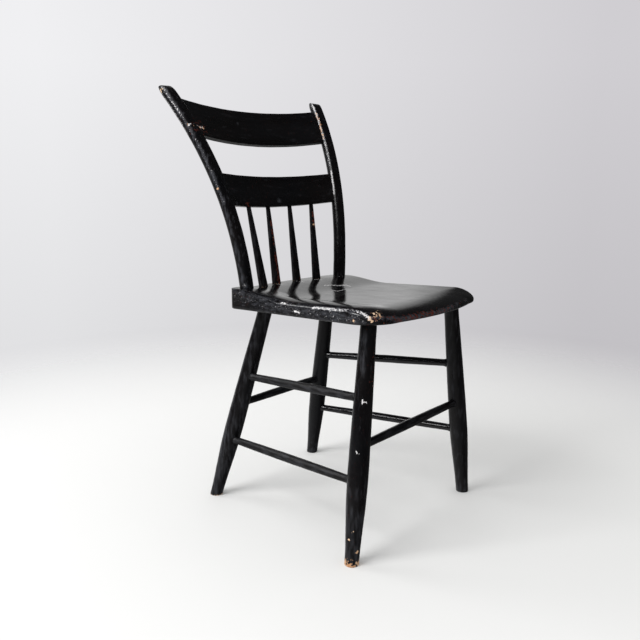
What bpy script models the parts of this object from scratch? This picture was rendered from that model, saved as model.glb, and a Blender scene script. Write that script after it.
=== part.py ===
"""A plank seat side chair: a solid wood seat, four turned legs with six stretchers between them,
and a back of two bent posts, two bowed rails and four tapered spindles. Metres, +Z up. The chair
faces -Y, stands on z = 0, and its middle is x = 0. Right and left are the sitter's, so right is -X."""

from math import acos, atan2, cos, hypot, pi, radians, sin, sqrt

import bmesh
import bpy
from mathutils import Matrix, Vector

# What every joint shares: the room left round a piece where it sits in another.
CLEARANCE = 0.0003

# Seat plank. Its underside rises to the front by SEAT_RISE for each metre.
SEAT_HEIGHT = 0.4455
PLANK_THICKNESS = 0.0350
SEAT_RISE = 0.0344
SEAT_REAR_HALF_WIDTH = 0.1645
SEAT_FRONT_HALF_WIDTH = 0.1792
SEAT_REAR_Y = 0.0108
SEAT_REAR_BOW = 0.0187
SEAT_REAR_CORNER = 0.0045
SEAT_FRONT_Y = -0.3564
SEAT_FRONT_BOW = 0.0160
SEAT_FRONT_CORNER = 0.0583
SEAT_UNDER_ROUND = 0.0035

# The saddle: how thick the plank is left, and how its top edge is rounded over.
PLATFORM_DEPTH = 0.0300
SADDLE_SLOPE = 0.1150
SADDLE_THICKNESS = 0.0234
SADDLE_DISH = 0.0025
FRONT_THICKNESS = 0.0232
FRONT_SWELL_Y = -0.3000
EDGE_INSET = 0.0140
NOSE_INSET = 0.0260
EDGE_DROP_REAR = 0.0010
EDGE_DROP_SIDE = 0.0052
EDGE_DROP_NOSE = 0.0130
NOSE_DEPTH = 0.0600

# Legs: how far inside the seat's sides and its front or rear edge their axes meet the plank, and
# how far out and back from there they have splayed at the floor.
FRONT_LEG_INSET = (0.0400, 0.0515)
REAR_LEG_INSET = (0.0673, 0.0328)
FRONT_LEG_SPLAY = (0.0560, -0.0116)
REAR_LEG_SPLAY = (0.0593, 0.0995)
LEG_FOOT_RADIUS = 0.0123
LEG_BELLY_RADIUS = 0.0184
LEG_SEAT_RADIUS = 0.0137
LEG_BELLY_HEIGHT = 0.1600
LEG_FOOT_CURVE = 1.5
LEG_TOP_CURVE = 1.35
LEG_TENON_LENGTH = 0.0160
LEG_TENON_TAPER = 0.0020

# Stretchers: heights where their axes meet the axes of the legs, front end first.
SIDE_UPPER_HEIGHTS = (0.2893, 0.2631)
SIDE_LOWER_HEIGHTS = (0.1439, 0.1259)
FRONT_STRETCHER_HEIGHT = 0.2061
REAR_STRETCHER_HEIGHT = 0.2037
STRETCHER_END_RADIUS = 0.0068
STRETCHER_SWELL = 0.0015
STRETCHER_REACH = 0.0030

# Back posts: where the axis meets the seat, then how far the tip of the ear has gone out and back
# from there, by a straight lean, by an even bend and by a bend that tightens towards the top.
POST_SIDE_INSET = 0.0213
POST_REAR_INSET = 0.0307
POST_OUT_STRAIGHT = 0.0417
POST_OUT_BENT = 0.0324
POST_BACK_STRAIGHT = 0.0157
POST_BACK_BENT = 0.0839
POST_BACK_HOOKED = 0.0392
POST_RADIUS = 0.0134
POST_TOE = radians(14)
POST_SINK = 0.0020
POST_TENON_RADIUS = 0.0100
POST_TENON_LENGTH = 0.0200
FLAT_START = 0.0900
FLAT_FULL = 0.2600
FLAT_DEPTH = 0.0034
EAR_LENGTH = 0.0235
EAR_ROUNDING = 0.0200
EAR_TIP_DEPTH = 0.0070
EAR_TIP_SHRINK = 0.22

# Rails, by the heights of their lower edges above the seat where they meet the posts.
CREST_BOTTOM = 0.2950
CREST_HEIGHT = 0.0690
MID_BOTTOM = 0.1640
MID_HEIGHT = 0.0605
RAIL_THICKNESS = 0.0110
RAIL_BOW = 0.0260
RAIL_PAST_AXIS = 0.0020
RAIL_EDGE_ROUND = 0.0012

# Spindles: their feet and tops as shares of the way from the middle to the post, and how far
# their feet stand inside the seat's rear edge.
SPINDLE_FOOT_SHARES = {"inner": 0.219, "outer": 0.576}
SPINDLE_TOP_SHARES = {"inner": 0.197, "outer": 0.570}
SPINDLE_REAR_INSETS = {"inner": 0.0165, "outer": 0.0248}
SPINDLE_FOOT_RADIUS = 0.0092
SPINDLE_TOP_RADIUS = 0.0044
SPINDLE_SEAT_DEPTH = 0.0160
SPINDLE_SINK = 0.0016
SPINDLE_TENON_RADIUS = 0.0030
SPINDLE_TENON_LENGTH = 0.0085

# Pegs, driven from outside each post into the end of a rail.
PEG_RADIUS = 0.0024
PEG_IN_RAIL = 0.0100
PEG_PROUD = 0.0003

# How finely the round shapes are drawn.
SEAT_REAR_POINTS = 14
SEAT_SIDE_POINTS = 6
SEAT_CORNER_POINTS = 7
SEAT_FRONT_POINTS = 12
UNDER_ROUND_SHARES = (0, 0.5, 1)
UPPER_ROUND_SHARES = (0, 0.35, 0.65, 1)
SURFACE_SHARES = (0.80, 0.64, 0.46, 0.28, 0.12)
LEG_SIDES = 18
LEG_RINGS = 13
STRETCHER_SIDES = 14
STRETCHER_RINGS = 7
SPINDLE_SIDES = 12
PEG_SIDES = 10
POST_ROUND_POINTS = 15
POST_LEAST_FLAT = radians(12)
POST_RINGS = 14
EAR_RINGS = 6
RAIL_RINGS = 18
SHARP_ANGLE = radians(38)

# The small step over which a curve's direction is measured.
STEP = 0.001

# Old black paint over wood, and the dusty paint on the ends of the pegs.
BLACK_PAINT = (0.0095, 0.0093, 0.0095)
PEG_PAINT = (0.0300, 0.0280, 0.0250)
PAINT_ROUGHNESS = 0.34

SIDES = {"right": -1, "left": 1}


def clear_scene():
    for obj in list(bpy.data.objects):
        bpy.data.objects.remove(obj, do_unlink=True)


def smooth(value, start, end):
    """0 at start and 1 at end, with no kink at either."""
    share = min(max((value - start) / (end - start), 0.0), 1.0)
    return share * share * (3 - 2 * share)


def steps(start, end, count):
    return [start + (end - start) * index / count for index in range(count + 1)]


def loft(rings):
    """A closed skin through rings that hold the same number of points, with a face at each end."""
    shape = bmesh.new()
    verts = [shape.verts.new(point) for point in rings[0]]
    edges = [shape.edges.new(pair) for pair in zip(verts, verts[1:] + verts[:1])]
    shape.faces.new(verts)
    for ring in rings[1:]:
        made = bmesh.ops.extrude_edge_only(shape, edges=edges)["geom"]
        fresh = {item for item in made if isinstance(item, bmesh.types.BMVert)}
        edges = [item for item in made if isinstance(item, bmesh.types.BMEdge)]
        edges = [edge for edge in edges if fresh.issuperset(edge.verts)]
        verts = [partner_of(vert, fresh) for vert in verts]
        for vert, point in zip(verts, ring):
            vert.co = point
    shape.faces.new(verts)
    return shape


def partner_of(vert, fresh):
    return next(edge.other_vert(vert) for edge in vert.link_edges if edge.other_vert(vert) in fresh)


def finish(name, shape, place):
    """The object of a shape that is given in its own frame, put at a place in the chair's frame."""
    bmesh.ops.recalc_face_normals(shape, faces=shape.faces)
    mesh = bpy.data.meshes.new(name)
    shape.to_mesh(mesh)
    shape.free()
    mesh.shade_smooth()
    mesh.set_sharp_from_angle(angle=SHARP_ANGLE)
    obj = bpy.data.objects.new(name, mesh)
    obj.matrix_world = place
    bpy.context.scene.collection.objects.link(obj)
    return obj


def circle(radius, height, sides):
    angles = [2 * pi * index / sides for index in range(sides)]
    return [Vector((radius * cos(angle), radius * sin(angle), height)) for angle in angles]


def along(start, end):
    """The frame with its origin at start and its Z axis towards end."""
    return Matrix.Translation(start) @ (end - start).to_track_quat("Z", "X").to_matrix().to_4x4()


def turned(name, start, end, profile, sides, grow, floor=False):
    """A round piece from start to end. The profile lists its heights along the axis and its radii."""
    place = along(start, end)
    heights = [height for height, _ in profile]
    heights[0] -= grow
    heights[-1] += grow
    shape = loft([circle(radius + grow, height, sides) for height, (_, radius) in zip(heights, profile)])
    if floor:
        inverse = place.inverted()
        everything = shape.verts[:] + shape.edges[:] + shape.faces[:]
        down = inverse.to_3x3() @ Vector((0, 0, -1))
        cut = bmesh.ops.bisect_plane(
            shape, geom=everything, plane_co=inverse.translation, plane_no=down, clear_outer=True
        )
        rim = [item for item in cut["geom_cut"] if isinstance(item, bmesh.types.BMEdge)]
        bmesh.ops.holes_fill(shape, edges=rim, sides=0)
    return finish(name, shape, place)


def underside(y):
    """Height of the seat's flat underside."""
    return SEAT_HEIGHT - PLANK_THICKNESS - SEAT_RISE * y


def rear_edge(x):
    """Where the seat's bowed rear edge lies, at a distance x from the middle."""
    return SEAT_REAR_Y + SEAT_REAR_BOW * (1 - min(abs(x) / SEAT_REAR_HALF_WIDTH, 1.0) ** 2)


def plank_thickness(x, y):
    """What the saddling leaves of the plank: a thick rear platform, a dip, and a swell at the front."""
    from_rear = rear_edge(x) - y
    slope = smooth(from_rear, PLATFORM_DEPTH, PLATFORM_DEPTH + SADDLE_SLOPE)
    swell = smooth(-y, -FRONT_SWELL_Y - SADDLE_SLOPE, -FRONT_SWELL_Y)
    centre = max(1 - (x / SEAT_REAR_HALF_WIDTH) ** 2, 0.0)
    low = SADDLE_THICKNESS + (FRONT_THICKNESS - SADDLE_THICKNESS) * swell - SADDLE_DISH * centre
    return PLANK_THICKNESS + (low - PLANK_THICKNESS) * slope


def nose_share(y):
    """0 along the seat's sides, rising to 1 at its rolled front edge."""
    return smooth(-y, -SEAT_FRONT_Y - NOSE_DEPTH, -SEAT_FRONT_Y)


def edge_drop(y):
    """How far the top edge of the plank's side lies below the seat's surface just inside it."""
    side = smooth(SEAT_REAR_Y - y, PLATFORM_DEPTH, PLATFORM_DEPTH + SADDLE_SLOPE)
    drop = EDGE_DROP_REAR + (EDGE_DROP_SIDE - EDGE_DROP_REAR) * side
    return drop + (EDGE_DROP_NOSE - drop) * nose_share(y)


def edge_inset(y):
    return EDGE_INSET + (NOSE_INSET - EDGE_INSET) * nose_share(y)


def seat_outline():
    """The seat in plan, from the left rear corner across the back and round by the right side."""
    points = []
    rear = SEAT_REAR_HALF_WIDTH - SEAT_REAR_CORNER
    for x in steps(rear, -rear, SEAT_REAR_POINTS):
        points.append((x, rear_edge(x)))
    right = [(-SEAT_REAR_HALF_WIDTH, SEAT_REAR_Y - SEAT_REAR_CORNER)]
    corner_y = SEAT_FRONT_Y + SEAT_FRONT_CORNER
    corner_x = SEAT_FRONT_HALF_WIDTH - SEAT_FRONT_CORNER
    for share in steps(0, 1, SEAT_SIDE_POINTS)[1:]:
        x = SEAT_REAR_HALF_WIDTH + (SEAT_FRONT_HALF_WIDTH - SEAT_REAR_HALF_WIDTH) * share
        y = right[0][1] + (corner_y - right[0][1]) * share
        right.append((-x, y))
    for angle in steps(0, pi / 2, SEAT_CORNER_POINTS)[1:]:
        x = corner_x + SEAT_FRONT_CORNER * cos(angle)
        right.append((-x, corner_y - SEAT_FRONT_CORNER * sin(angle)))
    front = []
    for x in steps(-corner_x, corner_x, SEAT_FRONT_POINTS)[1:-1]:
        front.append((x, SEAT_FRONT_Y - SEAT_FRONT_BOW * (1 - (x / corner_x) ** 2)))
    left = [(-x, y) for x, y in reversed(right)]
    return points + right + front + left


def seat_ring(share_at, height_at):
    """The outline drawn in towards the middle of the seat, at the thickness that height_at gives."""
    middle_y = (SEAT_REAR_Y + SEAT_FRONT_Y) / 2
    ring = []
    for x, y in seat_outline():
        share = share_at(hypot(x, y - middle_y), y)
        inner = Vector((x * share, middle_y + (y - middle_y) * share, 0))
        inner.z = underside(inner.y) + height_at(inner, y)
        ring.append(inner)
    return ring


def under_ring(share):
    """A ring of the rounded lower edge: share is 0 on the underside and 1 on the plank's side."""
    turn = share * pi / 2
    inset = SEAT_UNDER_ROUND * (1 - sin(turn))
    height = SEAT_UNDER_ROUND * (1 - cos(turn))
    return seat_ring(lambda length, y: 1 - inset / length, lambda inner, y: height)


def upper_ring(share):
    """A ring of the rounded upper edge: share is 0 on the plank's side and 1 on the seat's surface."""
    turn = share * pi / 2

    def share_at(length, y):
        return 1 - edge_inset(y) * (1 - cos(turn)) / length

    def height_at(inner, y):
        return plank_thickness(inner.x, inner.y) - edge_drop(y) * (1 - sin(turn))

    return seat_ring(share_at, height_at)


def surface_ring(share):
    """A ring of the seat's surface, at a share of the way from its middle to its edge."""
    return seat_ring(lambda length, y: share, lambda inner, y: plank_thickness(inner.x, inner.y))


def seat_plank(name):
    """The saddled plank, from its flat underside round its edge to the middle of its surface."""
    rings = [under_ring(share) for share in UNDER_ROUND_SHARES]
    rings += [upper_ring(share) for share in UPPER_ROUND_SHARES]
    rings += [surface_ring(share) for share in SURFACE_SHARES]
    return finish(name, loft(rings), Matrix.Identity(4))


def leg_axis(end, side):
    """The foot of a leg's axis on the floor, and the axis's direction for a rise of one metre."""
    height = SEAT_HEIGHT - PLANK_THICKNESS
    if end == "front":
        inset, splay = FRONT_LEG_INSET, FRONT_LEG_SPLAY
        top = Vector((side * (SEAT_FRONT_HALF_WIDTH - inset[0]), SEAT_FRONT_Y + inset[1], height))
    else:
        inset, splay = REAR_LEG_INSET, REAR_LEG_SPLAY
        top = Vector((side * (SEAT_REAR_HALF_WIDTH - inset[0]), SEAT_REAR_Y - inset[1], height))
    base = top + Vector((side * splay[0], splay[1], -height))
    return base, (top - base) / height


def leg_point(end, side, height):
    base, slope = leg_axis(end, side)
    return base + slope * height


def leg_seat_height(end, side):
    """Where the leg's axis meets the underside of the seat."""
    base, slope = leg_axis(end, side)
    return underside(base.y) / (1 + SEAT_RISE * slope.y)


def leg_radius(height, seat):
    if height < LEG_BELLY_HEIGHT:
        share = sin(pi / 2 * max(height, 0) / LEG_BELLY_HEIGHT) ** LEG_FOOT_CURVE
        return LEG_FOOT_RADIUS + (LEG_BELLY_RADIUS - LEG_FOOT_RADIUS) * share
    share = ((height - LEG_BELLY_HEIGHT) / (seat - LEG_BELLY_HEIGHT)) ** LEG_TOP_CURVE
    return LEG_BELLY_RADIUS + (LEG_SEAT_RADIUS - LEG_BELLY_RADIUS) * share


def leg(name, end, side, grow=0.0):
    """A turned leg, cut level at the floor, with a tapered tenon that stops inside the seat."""
    base, slope = leg_axis(end, side)
    seat = leg_seat_height(end, side) * slope.length
    tip = seat + LEG_TENON_LENGTH
    spare = LEG_FOOT_RADIUS
    profile = [(0, LEG_FOOT_RADIUS)]
    profile += [(height + spare, leg_radius(height, seat)) for height in steps(0, seat, LEG_RINGS)]
    profile.append((tip + spare, LEG_SEAT_RADIUS - LEG_TENON_TAPER))
    below = base - slope.normalized() * spare
    return turned(name, below, base + slope, profile, LEG_SIDES, grow, floor=True)


def stretcher(name, start, end, grow=0.0):
    """A rod that swells towards its middle and runs a little past the axis of the leg at each end."""
    reach = (end - start).normalized() * STRETCHER_REACH
    length = (end - start).length + 2 * STRETCHER_REACH
    profile = []
    for share in steps(0, 1, STRETCHER_RINGS):
        profile.append((length * share, STRETCHER_END_RADIUS + STRETCHER_SWELL * sin(pi * share)))
    return turned(name, start - reach, end + reach, profile, STRETCHER_SIDES, grow)


def post_axis(side, rise):
    """The middle of a back post, at a height above the seat. Below the seat's surface it is straight."""
    share = rise / (CREST_BOTTOM + CREST_HEIGHT + EAR_LENGTH)
    bent = max(share, 0.0)
    x = SEAT_REAR_HALF_WIDTH - POST_SIDE_INSET
    y = rear_edge(x) - POST_REAR_INSET
    x += POST_OUT_STRAIGHT * share + POST_OUT_BENT * bent**2
    y += POST_BACK_STRAIGHT * share + POST_BACK_BENT * bent**2 + POST_BACK_HOOKED * bent**3
    return Vector((side * x, y, SEAT_HEIGHT + rise))


def post_section(side, rise, radius, flat):
    """A circle across the post's axis, cut off by a flat face that looks to the front."""
    along_axis = (post_axis(side, rise + STEP) - post_axis(side, rise - STEP)).normalized()
    front = Vector((-side * sin(POST_TOE), -cos(POST_TOE), 0))
    front = (front - along_axis * front.dot(along_axis)).normalized()
    across = along_axis.cross(front)
    corner = acos(min(max(flat / radius, -1.0), cos(POST_LEAST_FLAT)))
    angles = steps(corner, 2 * pi - corner, POST_ROUND_POINTS)
    centre = post_axis(side, rise)
    ring = [centre + (front * cos(angle) + across * sin(angle)) * radius for angle in angles]
    ring.append((ring[0] + ring[-1]) / 2)
    return ring


def post(name, side, grow=0.0):
    """A bent post: a round tenon, a shaft that is flattened in front, and an ear rounded like a thumb."""
    rings = []
    for rise in (-POST_TENON_LENGTH - POST_SINK - grow, -POST_SINK - grow):
        rings.append(post_section(side, rise, POST_TENON_RADIUS + grow, POST_TENON_RADIUS))
    ear = CREST_BOTTOM + CREST_HEIGHT
    for rise in steps(-POST_SINK - grow, ear, POST_RINGS):
        flat = POST_RADIUS - FLAT_DEPTH * smooth(rise, FLAT_START, FLAT_FULL)
        rings.append(post_section(side, rise, POST_RADIUS + grow, flat + grow))
    for rise in steps(ear, ear + EAR_LENGTH, EAR_RINGS)[1:]:
        share = max(rise - ear - EAR_LENGTH + EAR_ROUNDING, 0) / EAR_ROUNDING
        left = sqrt(max(1 - share**2, 0))
        rear = POST_RADIUS - EAR_TIP_DEPTH
        flat = (POST_RADIUS - FLAT_DEPTH + rear) * left - rear
        radius = POST_RADIUS * (1 - EAR_TIP_SHRINK * share**3)
        rings.append(post_section(side, rise, radius + grow, flat + grow))
    shape = loft(rings)
    foot = post_axis(side, 0)
    bmesh.ops.translate(shape, vec=-foot, verts=shape.verts)
    return finish(name, shape, Matrix.Translation(foot))


def rail_lean(bottom, height):
    """The angle by which a rail leans back, with the posts that hold it."""
    low, high = post_axis(1, bottom), post_axis(1, bottom + height)
    return atan2(high.y - low.y, high.z - low.z)


def rail_point(bottom, height, across, up):
    """A point on the middle surface of a rail: across runs from -1 to 1 between the posts' axes."""
    lean = rail_lean(bottom, height)
    bow = RAIL_BOW * (1 - across**2)
    at_post = post_axis(1, bottom + height * up)
    return Vector((at_post.x * across, at_post.y + bow * cos(lean), at_post.z - bow * sin(lean)))


def rail_out(bottom, height, across, up):
    """The direction of a rail's length, towards +X."""
    ahead = rail_point(bottom, height, across + STEP, up)
    return (ahead - rail_point(bottom, height, across - STEP, up)).normalized()


def rail_back(bottom, height, across, up):
    """The direction square to a rail's face, towards the back."""
    upward = rail_point(bottom, height, across, up + STEP) - rail_point(bottom, height, across, up)
    return upward.cross(rail_out(bottom, height, across, up)).normalized()


def rail(name, bottom, height, grow=0.0):
    """A bowed board of one thickness, whose ends stop inside the posts."""
    half = RAIL_THICKNESS / 2 + grow
    low, high = -grow / height, 1 + grow / height
    ease = RAIL_EDGE_ROUND / height
    section = [(low + ease, -half), (high - ease, -half), (high, RAIL_EDGE_ROUND - half)]
    section += [(high, half - RAIL_EDGE_ROUND), (high - ease, half), (low + ease, half)]
    section += [(low, half - RAIL_EDGE_ROUND), (low, RAIL_EDGE_ROUND - half)]
    rings = []
    for across in steps(-1, 1, RAIL_RINGS):
        ring = []
        for up, offset in section:
            end = 1 + (RAIL_PAST_AXIS + grow) / post_axis(1, bottom + height * up).x
            back = rail_back(bottom, height, across * end, up)
            ring.append(rail_point(bottom, height, across * end, up) + back * offset)
        rings.append(ring)
    return finish(name, loft(rings), Matrix.Identity(4))


def spindle(name, place, side, grow=0.0):
    """A tapered spindle, stopped in the seat below and in the middle rail's lower edge above."""
    x = side * post_axis(1, 0).x * SPINDLE_FOOT_SHARES[place]
    foot = Vector((x, rear_edge(x) - SPINDLE_REAR_INSETS[place], SEAT_HEIGHT))
    top = rail_point(MID_BOTTOM, MID_HEIGHT, side * SPINDLE_TOP_SHARES[place], 0)
    length = (top - foot).length
    start = foot - (top - foot).normalized() * SPINDLE_SEAT_DEPTH
    seat = SPINDLE_SEAT_DEPTH
    profile = [
        (0, SPINDLE_FOOT_RADIUS),
        (seat, SPINDLE_FOOT_RADIUS),
        (seat + length + SPINDLE_SINK + grow, SPINDLE_TOP_RADIUS),
        (seat + length + SPINDLE_SINK + grow, SPINDLE_TENON_RADIUS),
        (seat + length + SPINDLE_TENON_LENGTH, SPINDLE_TENON_RADIUS),
    ]
    return turned(name, start, top, profile, SPINDLE_SIDES, grow)


def peg(name, bottom, height, side, grow=0.0):
    """A peg from the outer side of a post into the end of a rail, at the middle of its height."""
    out = rail_out(bottom, height, side, 0.5) * side
    end = rail_point(bottom, height, side, 0.5) + out * RAIL_PAST_AXIS
    outer = POST_RADIUS - RAIL_PAST_AXIS + PEG_PROUD
    start = end - out * PEG_IN_RAIL
    profile = [(0, PEG_RADIUS), (PEG_IN_RAIL + outer, PEG_RADIUS)]
    return turned(name, start, end, profile, PEG_SIDES, grow)


def as_cutter(obj):
    obj.hide_render = True
    obj.display_type = "WIRE"
    return obj


def cut(host, cutter):
    modifier = host.modifiers.new(cutter.name, "BOOLEAN")
    modifier.operation = "DIFFERENCE"
    modifier.solver = "EXACT"
    modifier.object = cutter


def paint(obj, colour):
    material = bpy.data.materials.new(obj.name)
    material.use_nodes = True
    shader = material.node_tree.nodes["Principled BSDF"]
    shader.inputs["Base Color"].default_value = (*colour, 1.0)
    shader.inputs["Roughness"].default_value = PAINT_ROUGHNESS
    shader.inputs["Metallic"].default_value = 0.0
    material.diffuse_color = (*colour, 1.0)
    obj.data.materials.append(material)


def fitted(builder, name, *sizes):
    """A piece, and the cutter that leaves its room in whatever holds it."""
    piece = builder(name, *sizes)
    room = as_cutter(builder(name + "_room", *sizes, grow=CLEARANCE))
    return piece, room


def gather(name, pieces):
    """Parents everything to an empty, and puts the origin under the middle of the chair's box."""
    depths = [(obj.matrix_world @ vert.co).y for obj in pieces for vert in obj.data.vertices]
    chair = bpy.data.objects.new(name, None)
    chair.location.y = -(min(depths) + max(depths)) / 2
    for obj in list(bpy.context.scene.collection.objects):
        obj.parent = chair
    bpy.context.scene.collection.objects.link(chair)


def main():
    clear_scene()
    pieces = {"seat": seat_plank("seat")}

    for end in ("front", "rear"):
        for hand, side in SIDES.items():
            name = f"leg_{end}_{hand}"
            pieces[name], room = fitted(leg, name, end, side)
            cut(pieces["seat"], room)

    stretchers = {}
    for hand, side in SIDES.items():
        for level, heights in (("upper", SIDE_UPPER_HEIGHTS), ("lower", SIDE_LOWER_HEIGHTS)):
            ends = [("front", hand, heights[0]), ("rear", hand, heights[1])]
            stretchers[f"side_stretcher_{level}_{hand}"] = ends
    for end, height in (("front", FRONT_STRETCHER_HEIGHT), ("rear", REAR_STRETCHER_HEIGHT)):
        stretchers[f"{end}_stretcher"] = [(end, hand, height) for hand in SIDES]
    for name, ends in stretchers.items():
        points = [leg_point(end, SIDES[hand], height) for end, hand, height in ends]
        pieces[name], room = fitted(stretcher, name, *points)
        for end, hand, _ in ends:
            cut(pieces[f"leg_{end}_{hand}"], room)

    rails = {"crest": (CREST_BOTTOM, CREST_HEIGHT), "middle": (MID_BOTTOM, MID_HEIGHT)}
    rooms = {}
    for level, sizes in rails.items():
        pieces[f"{level}_rail"], rooms[level] = fitted(rail, f"{level}_rail", *sizes)

    for hand, side in SIDES.items():
        name = f"back_post_{hand}"
        pieces[name], room = fitted(post, name, side)
        cut(pieces["seat"], room)
        for level, sizes in rails.items():
            cut(pieces[name], rooms[level])
            pin = f"{level}_rail_peg_{hand}"
            pieces[pin], hole = fitted(peg, pin, *sizes, side)
            cut(pieces[name], hole)
            cut(pieces[f"{level}_rail"], hole)

    for hand, side in SIDES.items():
        for place in SPINDLE_FOOT_SHARES:
            name = f"spindle_{place}_{hand}"
            pieces[name], room = fitted(spindle, name, place, side)
            cut(pieces["seat"], room)
            cut(pieces["middle_rail"], room)

    for name, obj in pieces.items():
        paint(obj, PEG_PAINT if "_peg_" in name else BLACK_PAINT)
    gather("plank_seat_chair", pieces.values())


main()
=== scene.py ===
# %% [markdown]
# # A plank seat side chair in worn black paint
# The real chair is a thick saddled plank with four turned legs wedged into it from below and a back
# of bent posts, bowed rails and tapered spindles set into it from above. All of it wears the same
# old black paint over an earlier red, so the lesson has two halves: smooth, slightly uneven wood
# shapes, and one paint that is rubbed, chipped and polished in different places.

from math import acos, atan2, cos, pi, radians, sin, sqrt

import bmesh
import bpy
import numpy as np
from mathutils import Matrix, Vector, noise


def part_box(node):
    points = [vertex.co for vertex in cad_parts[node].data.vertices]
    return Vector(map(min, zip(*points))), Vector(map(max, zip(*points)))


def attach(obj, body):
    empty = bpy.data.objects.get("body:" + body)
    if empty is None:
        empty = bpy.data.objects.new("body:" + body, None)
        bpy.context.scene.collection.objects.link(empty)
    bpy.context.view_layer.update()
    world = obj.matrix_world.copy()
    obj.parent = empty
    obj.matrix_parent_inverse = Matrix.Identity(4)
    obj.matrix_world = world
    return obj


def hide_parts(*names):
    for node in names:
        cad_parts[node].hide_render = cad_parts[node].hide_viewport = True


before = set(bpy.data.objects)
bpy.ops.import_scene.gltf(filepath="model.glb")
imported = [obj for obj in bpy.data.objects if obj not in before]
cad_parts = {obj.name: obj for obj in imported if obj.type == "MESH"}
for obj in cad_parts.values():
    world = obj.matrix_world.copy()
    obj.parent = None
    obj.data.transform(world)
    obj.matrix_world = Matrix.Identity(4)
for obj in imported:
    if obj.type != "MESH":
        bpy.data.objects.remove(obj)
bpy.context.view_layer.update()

# %% [markdown]
# ## The camera
# The photographer stood at the chair's front right corner, as its sitter would say it, with the
# lens a little below the top of the back and tipped slightly down. The place and the focal length
# were solved from the chair's own symmetry, so every piece can be compared with its picture.

# %% Camera
EYE = (-1.09317, -0.87992, 0.65888)
TIP_DOWN = radians(11.28)
TURN = radians(49.91)
SENSOR_WIDTH = 36.0
FOCAL_LENGTH = 39.80

lens = bpy.data.cameras.new("camera")
lens.sensor_width = SENSOR_WIDTH
lens.lens = FOCAL_LENGTH
camera = bpy.data.objects.new("camera", lens)
camera.location = EYE
camera.rotation_euler = (pi / 2 - TIP_DOWN, 0, -TURN)
bpy.context.scene.collection.objects.link(camera)
bpy.context.scene.camera = camera
bpy.context.scene.view_settings.view_transform = "Standard"

# %% [markdown]
# ## Two small helpers for finishes
# Colours are chosen as the sRGB codes that a picture shows, but a shader works in linear light, so
# one function turns the one into the other. Every shader node in the lesson is added by one other
# function, which sets its settings and wires or fills its inputs in the same call.

# %% Colours and nodes
def colour(code):
    """An sRGB hex code as a linear colour with an alpha of 1."""
    channels = [int(code[start : start + 2], 16) / 255 for start in (1, 3, 5)]
    linear = [c / 12.92 if c <= 0.04045 else ((c + 0.055) / 1.055) ** 2.4 for c in channels]
    return (*linear, 1.0)


def add(tree, kind, inputs=None, **settings):
    """Adds a node. An input is wired where it is given a socket, and filled where it is given a value."""
    made = tree.nodes.new(kind)
    for name, value in settings.items():
        setattr(made, name, value)
    for socket, value in (inputs or {}).items():
        if isinstance(value, bpy.types.NodeSocket):
            tree.links.new(value, made.inputs[socket])
        else:
            made.inputs[socket].default_value = value
    return made


# %% [markdown]
# ## Finished pieces
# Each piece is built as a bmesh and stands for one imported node, which is then hidden. Old wood is
# never quite true, so the skin of every piece moves in and out by a fraction of a millimetre. That
# does not change its outline, but it makes the reflections waver as they do on hand-brushed paint.

# %% From a bmesh to a piece of the chair
MERGE = 1e-6
SHARP_ANGLE = radians(50)


def uneven(shape, wave, depth):
    """Moves the skin in and out by up to depth, in waves of about that length."""
    shape.normal_update()
    moves = [vert.normal * noise.noise(vert.co / wave) * depth for vert in shape.verts]
    for vert, move in zip(shape.verts, moves):
        vert.co += move


def make_piece(shape, node):
    """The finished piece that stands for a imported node."""
    bmesh.ops.recalc_face_normals(shape, faces=shape.faces)
    mesh = bpy.data.meshes.new("painted_" + node)
    shape.to_mesh(mesh)
    shape.free()
    mesh.shade_smooth()
    mesh.set_sharp_from_angle(angle=SHARP_ANGLE)
    piece = bpy.data.objects.new("painted_" + node, mesh)
    bpy.context.scene.collection.objects.link(piece)
    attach(piece, "root")
    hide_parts(node)
    return piece


# %% [markdown]
# ## Turned pieces
# Legs, stretchers and spindles come off a lathe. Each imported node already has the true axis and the
# true diameters, only in few facets. So the profile is read from the node ring by ring, smoothed,
# and spun again with many more steps, which keeps the piece exactly where the joints need it.

# %% Read a turned node's axis and profile
RING_SLICE = 0.0005
RING_POINTS = 10


def points_of(node):
    """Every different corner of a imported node, as rows of x, y and z."""
    corners = np.array([vert.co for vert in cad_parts[node].data.vertices])
    return np.unique(corners.round(6), axis=0)


def end_middles(node):
    """The middles of a turned node's two ends, the lower, rear or right one first."""
    points = points_of(node)
    middle = points.mean(axis=0)
    direction = np.linalg.svd(points - middle)[2][0]
    direction *= np.sign(direction[np.argmax(np.abs(direction))])
    reach = (points - middle) @ direction
    first = points[reach < reach.min() + RING_SLICE]
    if node.startswith("leg"):
        first = points[points[:, 2] < RING_SLICE]
    last = points[reach > reach.max() - RING_SLICE]
    return Vector(first.mean(axis=0)), Vector(last.mean(axis=0))


def profile_of(node):
    """Heights along a turned node's axis and its radius at each, from the rings that are whole."""
    start, end = end_middles(node)
    axis = np.array((end - start).normalized())
    away = points_of(node) - np.array(start)
    heights = away @ axis
    radii = np.linalg.norm(away - np.outer(heights, axis), axis=1)
    profile = []
    for height in np.unique(heights.round(3)):
        ring = radii[np.abs(heights - height) < RING_SLICE * 1.2]
        if (ring > ring.max() - RING_SLICE).sum() >= RING_POINTS:
            profile.append((float(height), float(ring.max())))
    return start, end, profile


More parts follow.
